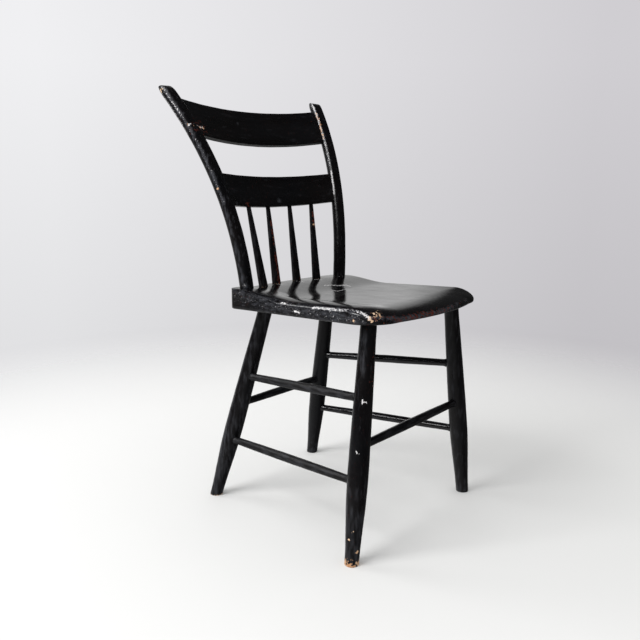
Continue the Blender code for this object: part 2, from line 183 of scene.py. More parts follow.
def drawn_finer(profile, spacing):
    """The same profile with a ring at every spacing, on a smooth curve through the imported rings."""
    heights, radii = np.array(profile).T
    slopes = np.gradient(radii, heights)
    fine = np.linspace(heights[0], heights[-1], round((heights[-1] - heights[0]) / spacing) + 1)
    at = np.clip(np.searchsorted(heights, fine, side="right") - 1, 0, len(heights) - 2)
    span = heights[at + 1] - heights[at]
    t = (fine - heights[at]) / span
    curve = (1 + 2 * t) * (1 - t) ** 2 * radii[at] + t * (1 - t) ** 2 * span * slopes[at]
    curve += t**2 * (3 - 2 * t) * radii[at + 1] + t**2 * (t - 1) * span * slopes[at + 1]
    return list(zip(fine.tolist(), curve.tolist()))


def spun(start, end, profile, steps):
    """A profile of heights and radii, spun round the line from start towards end."""
    shape = bmesh.new()
    line = [(0, 0, profile[0][0])] + [(radius, 0, height) for height, radius in profile]
    verts = [shape.verts.new(point) for point in line + [(0, 0, profile[-1][0])]]
    edges = [shape.edges.new(pair) for pair in zip(verts, verts[1:])]
    bmesh.ops.spin(
        shape, geom=verts + edges, axis=(0, 0, 1), cent=(0, 0, 0), angle=2 * pi, steps=steps, use_merge=True
    )
    bmesh.ops.remove_doubles(shape, verts=shape.verts, dist=MERGE)
    place = Matrix.Translation(start) @ (end - start).to_track_quat("Z", "X").to_matrix().to_4x4()
    bmesh.ops.transform(shape, matrix=place, verts=shape.verts)
    return shape


# %% [markdown]
# ## Legs
# A leg is slim at the seat, swells to a belly below the middle and tapers to a small foot, which was
# sawn level with the floor once the chair stood. The turned profile runs on below the floor and is
# bisected there, and the sawn edge gets a small bevel, because feet are the first thing to wear.

# %% Legs
LEG_STEPS = 56
LEG_SPACING = 0.002
FOOT_SPARE = 0.006
FOOT_BEVEL = 0.0012
WOOD_WAVE = 0.022
WOOD_DEPTH = 0.00022


def painted_leg(node):
    start, end, profile = profile_of(node)
    profile = [(height, radius) for height, radius in profile if height > FOOT_SPARE]
    foot = profile[0][1] - (profile[1][1] - profile[0][1]) * 0.5
    profile = [(-FOOT_SPARE, foot)] + profile
    shape = spun(start, end, drawn_finer(profile, LEG_SPACING), LEG_STEPS)
    uneven(shape, WOOD_WAVE, WOOD_DEPTH)
    everything = shape.verts[:] + shape.edges[:] + shape.faces[:]
    cut = bmesh.ops.bisect_plane(
        shape, geom=everything, plane_co=(0, 0, 0), plane_no=(0, 0, -1), clear_outer=True
    )
    rim = [item for item in cut["geom_cut"] if isinstance(item, bmesh.types.BMEdge)]
    bmesh.ops.holes_fill(shape, edges=rim, sides=0)
    bmesh.ops.bevel(
        shape, geom=rim, offset=FOOT_BEVEL, segments=3, affect="EDGES", profile=0.5, material=-1
    )
    return make_piece(shape, node)


legs = {}
for end in ("front", "rear"):
    for hand in ("right", "left"):
        legs[f"{end}_{hand}"] = painted_leg(f"leg_{end}_{hand}")
print("legs", [len(leg.data.polygons) for leg in legs.values()])

# %% [markdown]
# ## Stretchers
# Each stretcher is a plain rod, a little fatter in the middle, driven into a hole in the leg. Many
# coats of paint have gathered round the joints, so just outside the leg the rod wears a low rounded
# collar. It is part of the spun profile: a small bell curve added to the radius.

# %% Stretchers
ROD_STEPS = 32
ROD_SPACING = 0.003
LEG_BURIAL = 0.0205
COLLAR_HEIGHT = 0.0017
COLLAR_WIDTH = 0.0030


def painted_rod(node):
    start, end, profile = profile_of(node)
    length = profile[-1][0]
    fine = []
    for height, radius in drawn_finer(profile, ROD_SPACING):
        from_joint = min(height, length - height) - LEG_BURIAL
        fine.append((height, radius + COLLAR_HEIGHT * 2 ** -((from_joint / COLLAR_WIDTH) ** 2)))
    shape = spun(start, end, fine, ROD_STEPS)
    uneven(shape, WOOD_WAVE, WOOD_DEPTH)
    return make_piece(shape, node)


side_rods = {}
for level in ("upper", "lower"):
    for hand in ("right", "left"):
        side_rods[f"{level}_{hand}"] = painted_rod(f"side_stretcher_{level}_{hand}")
cross_rods = {end: painted_rod(f"{end}_stretcher") for end in ("front", "rear")}
print("stretchers", [len(rod.data.polygons) for rod in (*side_rods.values(), *cross_rods.values())])

# %% [markdown]
# ## Spindles
# The spindles are straight cones, thick in the seat and thin at the rail. Their tenons stay hidden,
# so the shoulder between cone and tenon is all that their profiles need besides the taper.

# %% Spindles
SPINDLE_STEPS = 32
SPINDLE_WAVE = 0.014
SPINDLE_DEPTH = 0.00016


def painted_spindle(node):
    start, end, profile = profile_of(node)
    (low, foot), (high, top) = profile[1], profile[-2]
    count = round((high - low) / ROD_SPACING)
    fine = [(0, foot)]
    fine += [(low + (high - low) * i / count, foot + (top - foot) * i / count) for i in range(count + 1)]
    shape = spun(start, end, fine, SPINDLE_STEPS)
    uneven(shape, SPINDLE_WAVE, SPINDLE_DEPTH)
    return make_piece(shape, node)


spindles = {}
for place in ("inner", "outer"):
    for hand in ("right", "left"):
        spindles[f"{place}_{hand}"] = painted_spindle(f"spindle_{place}_{hand}")
print("spindles", [len(spindle.data.polygons) for spindle in spindles.values()])

# %% [markdown]
# ## A skin through rings
# The seat, posts and rails are not round, but each can be described as a row of closed outlines. A
# grid is made once, rolled up so that every column of it lands on a point of every outline, merged
# along its seam, and capped at both ends.

# %% Roll a grid into a skin
def skin(rings):
    """A closed skin through rings that hold the same number of points."""
    around, rows = len(rings[0]), len(rings) - 1
    shape = bmesh.new()
    bmesh.ops.create_grid(shape, x_segments=around, y_segments=rows, size=0.5)
    for vert in shape.verts:
        column = round((vert.co.x + 0.5) * around) % around
        vert.co = rings[round((vert.co.y + 0.5) * rows)][column]
    bmesh.ops.remove_doubles(shape, verts=shape.verts, dist=MERGE)
    rims = [edge for edge in shape.edges if edge.is_boundary]
    bmesh.ops.holes_fill(shape, edges=rims, sides=0)
    return shape


def smooth(value, start, end):
    """0 at start and 1 at end, with no kink at either. It takes single values and arrays."""
    share = np.clip((value - start) / (end - start), 0.0, 1.0)
    return share * share * (3 - 2 * share)


def evenly(points, count):
    """A closed outline drawn again with evenly spaced points."""
    loop = np.array(points + points[:1])
    walked = np.concatenate([[0], np.cumsum(np.linalg.norm(np.diff(loop, axis=0), axis=1))])
    wanted = np.linspace(0, walked[-1], count, endpoint=False)
    return np.stack([np.interp(wanted, walked, axis) for axis in loop.T], axis=1)


def eased(ring, times):
    """A closed outline whose corners are rounded by averaging neighbours a few times."""
    for _ in range(times):
        ring = (np.roll(ring, 1, axis=0) + 2 * ring + np.roll(ring, -1, axis=0)) / 4
    return ring


# %% [markdown]
# ## The seat plank
# The seat is one plank, flat below. Its rear third is left thick as a platform for the posts and
# spindles. In front of that it is dished for the sitter, and its front edge is rolled over. The
# outline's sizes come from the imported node's box, and the thickness follows one formula over the
# plan. Rings run from the flat underside, round the edge, and in to the middle of the top.

# %% The seat's sizes
seat_low, seat_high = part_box("seat")
SEAT_HEIGHT = 0.4455
PLANK_THICKNESS = 0.0350
UNDERSIDE_RISE = 0.0344
REAR_HALF_WIDTH = 0.1645
FRONT_HALF_WIDTH = seat_high.x
REAR_BOW = 0.0187
REAR_Y = seat_high.y - REAR_BOW
REAR_CORNER = 0.0045
FRONT_BOW = 0.0160
FRONT_Y = seat_low.y + FRONT_BOW
FRONT_CORNER = 0.0583
UNDER_ROUND = 0.0035
# The plank lies lower towards its rear. At this y its top is at SEAT_HEIGHT.
HEIGHT_AT_Y = 0.1203
UNDERSIDE_AT_ZERO = SEAT_HEIGHT - PLANK_THICKNESS + UNDERSIDE_RISE * HEIGHT_AT_Y

# %% How thick the saddling leaves the plank
PLATFORM_DEPTH = 0.0300
SADDLE_SLOPE = 0.1150
SADDLE_THICKNESS = 0.0234
SADDLE_DISH = 0.0025
FRONT_THICKNESS = 0.0232
FRONT_SWELL = 0.0564
EDGE_INSET = 0.0140
NOSE_INSET = 0.0780
NEAR_INSET = 0.0370
DROP_REAR = 0.0010
DROP_SIDE = 0.0052
DROP_NEAR = 0.0112
DROP_NOSE = 0.0170
NOSE_DEPTH = 0.0600
NEAR_RIM = 0.0060
NEAR_RIM_FROM = 0.0900
NEAR_RIM_TO = 0.1500


def rear_edge(x):
    return REAR_Y + REAR_BOW * (1 - np.minimum(np.abs(x) / REAR_HALF_WIDTH, 1) ** 2)


def nose_share(y):
    """0 along the sides, rising to 1 at the rolled front edge."""
    return smooth(-y, -FRONT_Y - NOSE_DEPTH, -FRONT_Y)


def near_share(x):
    """0 in the middle, rising to 1 along the sitter's right edge."""
    return smooth(-x, NEAR_RIM_FROM, NEAR_RIM_TO)


def thickness(x, y):
    """The plank's thickness: a rear platform, the dip in front of it, and a swell at the front."""
    slope = smooth(rear_edge(x) - y, PLATFORM_DEPTH, PLATFORM_DEPTH + SADDLE_SLOPE)
    swell = smooth(-y, -FRONT_Y - FRONT_SWELL - SADDLE_SLOPE, -FRONT_Y - FRONT_SWELL)
    centre = np.maximum(1 - (x / REAR_HALF_WIDTH) ** 2, 0)
    low = SADDLE_THICKNESS + (FRONT_THICKNESS - SADDLE_THICKNESS) * swell - SADDLE_DISH * centre
    rim = NEAR_RIM * near_share(x) * (1 - nose_share(y))
    return PLANK_THICKNESS + (low - PLANK_THICKNESS) * slope + rim


def edge_inset(x, y):
    """How far in from the outline the rounding of the upper edge reaches."""
    inset = EDGE_INSET + (NEAR_INSET - EDGE_INSET) * near_share(x)
    return inset + (NOSE_INSET - inset) * nose_share(y)


def edge_drop(x, y):
    """How far down the rounding of the upper edge goes."""
    saddled = smooth(REAR_Y - y, PLATFORM_DEPTH, PLATFORM_DEPTH + SADDLE_SLOPE)
    beside = DROP_SIDE + (DROP_NEAR - DROP_SIDE) * near_share(x)
    drop = DROP_REAR + (beside - DROP_REAR) * saddled
    return drop + (DROP_NOSE - drop) * nose_share(y)


# %% The seat in plan
OUTLINE_POINTS = 440
DENSE = 40


def seat_plan():
    """The outline, from the left rear corner across the back and round by the right side."""
    rear = REAR_HALF_WIDTH - REAR_CORNER
    points = [(x, float(rear_edge(x))) for x in np.linspace(rear, -rear, DENSE)]
    right = [(-REAR_HALF_WIDTH, REAR_Y - REAR_CORNER)]
    corner_y = FRONT_Y + FRONT_CORNER
    corner_x = FRONT_HALF_WIDTH - FRONT_CORNER
    for angle in np.linspace(0, pi / 2, DENSE):
        right.append((-corner_x - FRONT_CORNER * cos(angle), corner_y - FRONT_CORNER * sin(angle)))
    front = []
    for x in np.linspace(-corner_x, corner_x, DENSE)[1:-1]:
        front.append((x, FRONT_Y - FRONT_BOW * (1 - (x / corner_x) ** 2)))
    left = [(-x, y) for x, y in reversed(right)]
    return eased(evenly(points + right + front + left, OUTLINE_POINTS), 3)


# %% The seat's rings and its mesh
PLAN = seat_plan()
PLAN_MIDDLE = np.array([0.0, (REAR_Y + FRONT_Y) / 2])
PLAN_REACH = np.linalg.norm(PLAN - PLAN_MIDDLE, axis=1)
SIDE_ROWS = 10
UPPER_ROWS = 20
TOP_SPACING = 0.0028
TOP_ROWS = round(REAR_HALF_WIDTH / TOP_SPACING)


def seat_ring(share, height):
    """The plan drawn in to a share of itself, at a height above the underside."""
    inner = PLAN_MIDDLE + (PLAN - PLAN_MIDDLE) * np.reshape(share, (-1, 1))
    level = UNDERSIDE_AT_ZERO - UNDERSIDE_RISE * inner[:, 1]
    return np.column_stack([inner, level + height(inner)])


def upper_ring(turn):
    """A ring of the rounded upper edge, from the plank's side at 0 to its top at a quarter turn."""
    drop = edge_drop(*PLAN.T) * (1 - sin(turn))
    share = 1 - edge_inset(*PLAN.T) * (1 - cos(turn)) / PLAN_REACH
    return seat_ring(share, lambda inner: thickness(inner[:, 0], inner[:, 1]) - drop)


def seat_rings():
    rings = []
    for turn in np.linspace(0, pi / 2, 5):
        share = 1 - UNDER_ROUND * (1 - sin(turn)) / PLAN_REACH
        rings.append(seat_ring(share, lambda inner: UNDER_ROUND * (1 - cos(turn))))
    side_top = upper_ring(0)
    for part in np.linspace(0, 1, SIDE_ROWS)[1:-1]:
        rings.append(rings[4] * (1 - part) + side_top * part)
    rings += [upper_ring(turn) for turn in np.linspace(0, pi / 2, UPPER_ROWS)]
    edge = 1 - edge_inset(*PLAN.T) / PLAN_REACH
    for part in np.linspace(1, 0, TOP_ROWS)[1:-1]:
        rings.append(seat_ring(edge * part, lambda inner: thickness(inner[:, 0], inner[:, 1])))
    return [ring.tolist() for ring in rings]


SEAT_WAVE = 0.045
SEAT_UNEVEN = 0.00020
seat_shape = skin(seat_rings())
uneven(seat_shape, SEAT_WAVE, SEAT_UNEVEN)
seat = make_piece(seat_shape, "seat")
print("seat", len(seat.data.polygons), "faces")

# %% [markdown]
# ## The back posts
# A post starts as a round rod. It was steamed and bent so that it flares outwards and sweeps back,
# its front was shaved flat above the middle, and its top was rounded over like a thumb. The rings
# are circles cut off by that flat, set square to the bent axis, with their corners eased.

# %% The path of a post
EAR_TOP = 0.3875
EAR_LENGTH = 0.0235
EAR_ROUNDING = 0.0200
EAR_TIP_DEPTH = 0.0070
EAR_TIP_SHRINK = 0.22
POST_X = REAR_HALF_WIDTH - 0.0213
POST_Y = float(rear_edge(POST_X)) - 0.0307
POST_OUT = (0.0417, 0.0324)
POST_BACK = (0.0157, 0.0839, 0.0392)
POST_RADIUS = 0.0134
POST_TOE = radians(14)
FLAT_START = 0.0900
FLAT_FULL = 0.2600
FLAT_DEPTH = 0.0034
STEP = 0.001


def post_axis(side, rise):
    """The middle of a post at a height above the seat."""
    share = rise / EAR_TOP
    bent = max(share, 0.0)
    x = POST_X + POST_OUT[0] * share + POST_OUT[1] * bent**2
    y = POST_Y + POST_BACK[0] * share + POST_BACK[1] * bent**2 + POST_BACK[2] * bent**3
    return Vector((side * x, y, SEAT_HEIGHT + rise))


# %% The rings of a post
POST_AROUND = 72
POST_SPACING = 0.0035
POST_BURIED = 0.006
EAR_ROWS = 18


def post_ring(side, rise, radius, flat):
    """A circle across the axis, cut off by a flat face that looks to the front."""
    along = (post_axis(side, rise + STEP) - post_axis(side, rise - STEP)).normalized()
    front = Vector((-side * sin(POST_TOE), -cos(POST_TOE), 0))
    front = (front - along * front.dot(along)).normalized()
    across = along.cross(front)
    corner = acos(min(max(flat / radius, -1), 0.999))
    centre = post_axis(side, rise)
    ring = []
    for angle in np.linspace(corner, 2 * pi - corner, POST_AROUND):
        ring.append(centre + (front * cos(angle) + across * sin(angle)) * radius)
    return eased(evenly([tuple(point) for point in ring], POST_AROUND), 2).tolist()


def post_side(side, rise, turn):
    """A place on a post's round side, turned from the front towards -X by that many degrees."""
    along = (post_axis(side, rise + STEP) - post_axis(side, rise - STEP)).normalized()
    front = Vector((-side * sin(POST_TOE), -cos(POST_TOE), 0))
    front = (front - along * front.dot(along)).normalized()
    out = front * cos(radians(turn)) - along.cross(front) * sin(radians(turn))
    return post_axis(side, rise) + out * POST_RADIUS


def painted_post(node, side):
    rings = []
    shaft = EAR_TOP - EAR_LENGTH
    for rise in np.linspace(-POST_BURIED, shaft, round(shaft / POST_SPACING)):
        flat = POST_RADIUS - FLAT_DEPTH * float(smooth(rise, FLAT_START, FLAT_FULL))
        rings.append(post_ring(side, rise, POST_RADIUS, flat))
    for turn in np.linspace(0, pi / 2, EAR_ROWS)[1:]:
        rise = shaft + EAR_LENGTH * sin(turn)
        share = max(rise - EAR_TOP + EAR_ROUNDING, 0) / EAR_ROUNDING
        left = sqrt(max(1 - share**2, 0))
        rear = POST_RADIUS - EAR_TIP_DEPTH
        flat = (POST_RADIUS - FLAT_DEPTH + rear) * left - rear
        rings.append(post_ring(side, rise, POST_RADIUS * (1 - EAR_TIP_SHRINK * share**3), flat))
    shape = skin(rings)
    uneven(shape, WOOD_WAVE, WOOD_DEPTH)
    return make_piece(shape, node)


SIDES = {"right": -1, "left": 1}
posts = {hand: painted_post(f"back_post_{hand}", side) for hand, side in SIDES.items()}
print("posts", [len(post.data.polygons) for post in posts.values()])

# %% [markdown]
# ## The rails
# Crest and middle rail are boards of one thickness, bent to a bow and let into the posts. They lean
# back with the posts, so each is drawn on the surface that the two post axes span, pushed back in
# the middle by the bow, and given its thickness square to that surface.

# %% Rails
RAIL_SIZES = {"crest_rail": (0.2950, 0.0690), "middle_rail": (0.1640, 0.0605)}
RAIL_HALF_THICKNESS = 0.0055
RAIL_BOW = 0.0260
RAIL_ROUND = 0.0016
RAIL_ACROSS = 150
RAIL_AROUND = 60


def rail_point(bottom, height, across, up):
    """A point on a rail's middle surface: across runs from -1 to 1 between the posts' axes."""
    low, high = post_axis(1, bottom), post_axis(1, bottom + height)
    lean = atan2(high.y - low.y, high.z - low.z)
    bow = RAIL_BOW * (1 - across**2)
    at_post = post_axis(1, bottom + height * up)
    return Vector((at_post.x * across, at_post.y + bow * cos(lean), at_post.z - bow * sin(lean)))


def rail_section(height):
    """A rounded rectangle: shares of the rail's height and distances from its middle surface."""
    tall, thick = height / 2 - RAIL_ROUND, RAIL_HALF_THICKNESS - RAIL_ROUND
    points = []
    for quarter, (side_a, side_b) in enumerate(((1, 1), (-1, 1), (-1, -1), (1, -1))):
        for turn in np.linspace(quarter * pi / 2, (quarter + 1) * pi / 2, 6):
            points.append((side_a * tall + RAIL_ROUND * cos(turn), side_b * thick + RAIL_ROUND * sin(turn)))
    return [(0.5 + a / height, b) for a, b in evenly(points, RAIL_AROUND)]


def painted_rail(node):
    bottom, height = RAIL_SIZES[node]
    rings = []
    for across in np.linspace(-1, 1, RAIL_ACROSS):
        ring = []
        for up, offset in rail_section(height):
            here = rail_point(bottom, height, across, up)
            out = rail_point(bottom, height, across + STEP, up) - here
            upward = rail_point(bottom, height, across, up + STEP) - here
            ring.append(tuple(here + upward.cross(out).normalized() * offset))
        rings.append(ring)
    shape = skin(rings)
    uneven(shape, WOOD_WAVE, WOOD_DEPTH)
    return make_piece(shape, node)


rails = {node: painted_rail(node) for node in RAIL_SIZES}
print("rails", [len(rail.data.polygons) for rail in rails.values()])

# %% [markdown]
# ## The pegs
# A small peg is driven through each post into the end of a rail and trimmed almost flush. Only its
# domed end shows, as a pale dot where the paint has flaked off it.

# %% Pegs
PEG_STEPS = 20
PEG_DOME = 0.0005


def painted_peg(node):
    start, end, profile = profile_of(node)
    if abs(end.x) < abs(start.x):
        start, end = end, start
    length, radius = profile[-1][0], profile[-1][1]
    dome = [(length - PEG_DOME + PEG_DOME * sin(turn), radius * cos(turn)) for turn in np.linspace(0, 1.3, 5)]
    shape = spun(start, end, [(0, radius), *dome], PEG_STEPS)
    return make_piece(shape, node)


pegs = {}
for level in ("crest", "middle"):
    for hand in SIDES:
        pegs[f"{level}_{hand}"] = painted_peg(f"{level}_rail_peg_{hand}")
print("pegs", [len(peg.data.polygons) for peg in pegs.values()])

# %% [markdown]
# ## Where the paint is worn, and where light is painted
# Wear is not even: hands, shoes and the floor rub at known places. Each piece carries four maps on
# its vertices, from 0 to 1: scuff, where the black is rubbed grey; red, where the older red shows;
# bare, where both coats are gone; and pale, where scratches and cracks look almost white. Some marks
# also paint light: pale lines are painted highlights on the seat's edges and a post, and scuff is
# painted light on the lit side of a leg and round the stretcher joints. A map only says how likely
# that is. The shader breaks it up with noise, so a soft round spot becomes a ragged chip. Each mark
# is a place or a path, a radius in metres and a depth: 1 shows everywhere, and 0.5 in about half of
# the grains of the noise. Scuff comes on more softly than the rest.

# %% Wear maps
def spot(place, radius, depth=1.0):
    """Wear round a place, full in its middle and gone at its radius."""
    return lambda points: depth * np.clip(1 - np.linalg.norm(points - np.array(place), axis=1) / radius, 0, 1)


def streak(path, radius, depth=1.0):
    """Wear along a path of places, full on it and gone at its radius."""

    def field(points):
        nearest = np.full(len(points), np.inf)
        for start, end in zip(path, path[1:]):
            start, run = np.array(start), np.array(end) - np.array(start)
            share = np.clip((points - start) @ run / (run @ run), 0, 1)
            nearest = np.minimum(nearest, np.linalg.norm(points - start - np.outer(share, run), axis=1))
        return depth * np.clip(1 - nearest / radius, 0, 1)

    return field


def ring(place, radius, width, depth=1.0):
    """Wear in a thin ring round a place, such as cracked paint round a foot."""

    def field(points):
        away = np.linalg.norm((points - np.array(place))[:, :2], axis=1)
        return depth * np.clip(1 - np.abs(away - radius) / width, 0, 1)

    return field


def below(height, fade, depth=1.0):
    """Wear that is full at the floor and gone at a height."""
    return lambda points: depth * np.clip((height - points[:, 2]) / fade, 0, 1)


def wear(piece, **maps):
    """Writes the maps of worn paint and painted light of a piece. Each is the strongest of a base level and
    some fields.
    """
    count = len(piece.data.vertices)
    flat = np.empty(count * 3)
    piece.data.vertices.foreach_get("co", flat)
    points = flat.reshape(-1, 3)
    strongest = {}
    for name in ("scuff", "red", "bare", "pale"):
        values = np.zeros(count)
        for field in maps.get(name, ()):
            values = np.maximum(values, field(points) if callable(field) else field)
        layer = piece.data.attributes.new(name, "FLOAT", "POINT")
        layer.data.foreach_set("value", values)
        strongest[name] = round(float(values.max()), 2)
    print(piece.name, "wears at most", strongest)


# %% Worn places and painted highlights on the seat
NEAR_SIDE = [(-0.166, 0.125, 0.440), (-0.172, 0.02, 0.432), (-0.178, -0.12, 0.432), (-0.178, -0.19, 0.432)]
REAR_EDGE = [(-0.1645, 0.1250, 0.4480), (-0.1670, 0.0400, 0.4400), (-0.1732, -0.0895, 0.4383)]
# The near top edge of the seat: worn paint, with a painted highlight along it in scuff and pale.
NEAR_EDGE = [
    (-0.1732, -0.0895, 0.4383),
    (-0.1727, -0.1051, 0.4395),
    (-0.1743, -0.1505, 0.4413),
    (-0.1719, -0.1908, 0.4424),
    (-0.1712, -0.2026, 0.4396),
    (-0.1703, -0.2081, 0.4351),
]
FRONT_EDGE = [(-0.165, -0.213, 0.434), (-0.12, -0.238, 0.428), (0.0, -0.252, 0.428), (0.11, -0.232, 0.428)]
# The crease ridge in front of the far post: a painted highlight, drawn as a pale arc.
FAR_POST_ARC = [
    (0.0359, 0.0568, 0.4399),
    (0.0511, 0.0530, 0.4396),
    (0.0614, 0.0424, 0.4384),
    (0.0781, 0.0367, 0.4381),
    (0.0775, 0.0255, 0.4371),
]
SADDLE_ARC = [(0.0182, 0.0261, 0.4366), (0.0170, 0.0068, 0.4356), (0.0444, 0.0103, 0.4361)]
SPINDLE_ARCS = [
    [(-0.0554, 0.1340, 0.4450), (-0.0560, 0.1200, 0.4452)],
    [(-0.0393, 0.1237, 0.4452), (-0.0418, 0.1044, 0.4453)],
    [(0.0186, 0.1229, 0.4453), (0.0184, 0.1028, 0.4450)],
    [(0.0605, 0.1054, 0.4456), (0.0697, 0.0933, 0.4446)],
]
SIDE_SCRATCHES = (
    ([(-0.1678, -0.0100, 0.4376), (-0.1681, -0.0210, 0.4368)], 0.0030),
    ([(-0.1729, -0.0450, 0.4272), (-0.1732, -0.0580, 0.4264)], 0.0027),
)
TENON_IN_SEAT = Vector((0, 0, 0.0160))
feet = [end_middles(f"spindle_{place}")[0] + TENON_IN_SEAT for place in spindles]
print("spindle feet", [tuple(round(value, 4) for value in foot) for foot in feet])

# %% Wear and painted highlights on the seat
wear(
    seat,
    scuff=[
        0.03,
        streak(NEAR_SIDE[1:], 0.036, 0.30),
        streak(NEAR_SIDE[:2], 0.036, 0.22),
        streak(REAR_EDGE, 0.010, 0.32),
        # Scuff along the near top edge: wear, and part of the painted highlight.
        streak(NEAR_EDGE, 0.0060, 0.65),
        streak(FRONT_EDGE, 0.010, 0.45),
    ],
    red=[
        0.05,
        streak(FRONT_EDGE[:3], 0.014, 0.56),
        streak(FRONT_EDGE[2:], 0.014, 0.38),
        spot((-0.1590, -0.2140, 0.4400), 0.020, 0.75),
    ]
    + [ring(foot, 0.011, 0.004, 0.7) for foot in feet],
    bare=[
        spot((-0.1560, -0.2150, 0.4400), 0.020, 0.55),
        spot((-0.1700, -0.2085, 0.4350), 0.007, 0.95),
        spot((-0.1590, -0.2099, 0.4420), 0.006, 0.95),
        spot((-0.1582, -0.2175, 0.4395), 0.007, 0.95),
        spot((-0.1462, -0.2170, 0.4427), 0.005, 0.9),
        spot((-0.1676, -0.2123, 0.4302), 0.005, 0.9),
        spot((-0.1785, -0.1836, 0.4290), 0.004, 0.9),
        spot((-0.1565, 0.1055, 0.4490), 0.004, 0.9),
    ]
    + [ring(foot, 0.0102, 0.0020, 0.62) for foot in feet],
    pale=[
        # Pale along the near top edge: wear and a painted highlight.
        streak(NEAR_EDGE, 0.0052, 0.98),
        # Painted highlight on the crease ridge in front of the far post.
        streak(FAR_POST_ARC, 0.0064, 0.84),
        streak(SADDLE_ARC, 0.0050, 0.76),
        streak(NEAR_SIDE, 0.020, 0.20),
        ring(post_axis(1, 0), 0.0155, 0.0022, 0.60),
    ]
    + [streak(path, radius, 1.3) for path, radius in SIDE_SCRATCHES]
    + [streak(arc, 0.0050, 0.75) for arc in SPINDLE_ARCS],
)

# %% Wear and a painted highlight on the posts
TIP = EAR_TOP - 0.006
near_band = [post_side(-1, rise, 80) for rise in np.linspace(0.17, TIP, 24)]
near_foot = [post_side(-1, rise, 85) for rise in np.linspace(0.02, 0.17, 12)]
near_corner = [post_side(-1, rise, 128) for rise in np.linspace(0.30, TIP, 12)]
far_band = [post_side(1, rise, 62) for rise in np.linspace(0.235, TIP + 0.002, 24)]
# At the middle rail's height the far post's pale line is wear and a painted highlight on its arris.
far_worn_highlight_line = [post_side(1, rise, 62) for rise in np.linspace(0.178, 0.228, 8)]
JOINT_CRACK = [(-0.2082, 0.1837, 0.7574), (-0.1900, 0.1850, 0.7572), (-0.1655, 0.1939, 0.7550)]
wear(
    posts["right"],
    scuff=[
        0.10,
        streak(near_band, 0.0085, 0.38),
        streak(near_foot, 0.012, 0.25),
        spot(post_side(-1, 0.012, 60), 0.014, 0.4),
    ],
    red=[0.03, spot((-0.1970, 0.1820, 0.7540), 0.022, 0.5)],
    bare=[
        spot(post_side(-1, EAR_TOP - 0.008, 110), 0.007),
        streak([(-0.2082, 0.1837, 0.7554), (-0.1942, 0.1804, 0.7560)], 0.0038),
    ],
    pale=[
        streak(near_band[17:], 0.0042, 0.62),
        streak(near_band, 0.0046, 0.26),
        streak(near_corner, 0.0038, 0.60),
        streak(JOINT_CRACK, 0.0042, 1.25),
        spot(post_side(-1, 0.014, 75), 0.0040),
    ],
)
wear(
    posts["left"],
    scuff=[0.06, streak(far_band, 0.0065, 0.35)],
    red=[0.03],
    bare=[streak(far_band[10:20], 0.0050, 0.66)],
    pale=[streak(far_band, 0.0046, 0.58), streak(far_band[16:], 0.0050, 0.75), streak(far_worn_highlight_line, 0.0034, 1.0)],
)

# %% Wear on the rails
CREST_CHIP = (-0.0464, 0.2239, 0.7700)
CRACK_END = (-0.1655, 0.1939, 0.7545)
wear(
    rails["crest_rail"],
    scuff=[0.08, spot((-0.1785, 0.1880, 0.7548), 0.016, 0.35), spot(CREST_CHIP, 0.004)],
    red=[0.04, spot((-0.172, 0.190, 0.757), 0.028, 0.52)],
    bare=[
        streak([(-0.1900, 0.1850, 0.7560), CRACK_END], 0.0036),
        spot(CRACK_END, 0.005),
    ],
    pale=[streak(JOINT_CRACK, 0.0034, 1.00), spot(CREST_CHIP, 0.0024)],
)
wear(
    rails["middle_rail"],
    scuff=[0.08, spot((0.0, 0.1525, 0.6135), 0.010, 0.6), spot((-0.138, 0.1335, 0.6132), 0.006, 0.5)],
    red=[0.04, spot((-0.1021, 0.1403, 0.6083), 0.016, 0.52)],
)

# %% Wear on the spindles and pegs
ABOVE_TENON = Vector((0, 0, 0.018))
RUBBED_SIDE = Vector((-0.0002, -0.0052, 0))
PALE_SIDE = Vector((-0.0026, 0.0016, 0))
for place, spindle in spindles.items():
    foot, top = end_middles(f"spindle_{place}")
    marks = [0.06, spot(foot + ABOVE_TENON, 0.010, 0.6)]
    chips = []
    rubs = []
    if place == "inner_right":
        low_red = [foot.lerp(top, 0.10) + RUBBED_SIDE * 1.5, foot.lerp(top, 0.44) + RUBBED_SIDE]
        high_red = [foot.lerp(top, 0.52) + RUBBED_SIDE, foot.lerp(top, 0.80) + RUBBED_SIDE]
        marks += [streak(low_red, 0.0056, 1.15), streak(high_red, 0.0040, 1.15)]
        chips.append(spot(foot.lerp(top, 0.62) + RUBBED_SIDE, 0.0045, 0.95))
        rubs.append(spot(foot.lerp(top, 0.84) + PALE_SIDE, 0.0042, 1.1))
    if place == "outer_left":
        red_line = [foot.lerp(top, 0.70) + RUBBED_SIDE, foot.lerp(top, 0.86) + RUBBED_SIDE]
        marks.append(streak(red_line, 0.0050, 1.1))
        chips.append(spot(foot.lerp(top, 0.72) + RUBBED_SIDE, 0.0060))
    wear(spindle, scuff=[0.14], red=marks, bare=chips, pale=rubs)
for place, peg in pegs.items():
    shown_peg = place == "middle_right"
    wear(peg, scuff=[0.55 if shown_peg else 0.2], bare=[0.8 if shown_peg else 0])

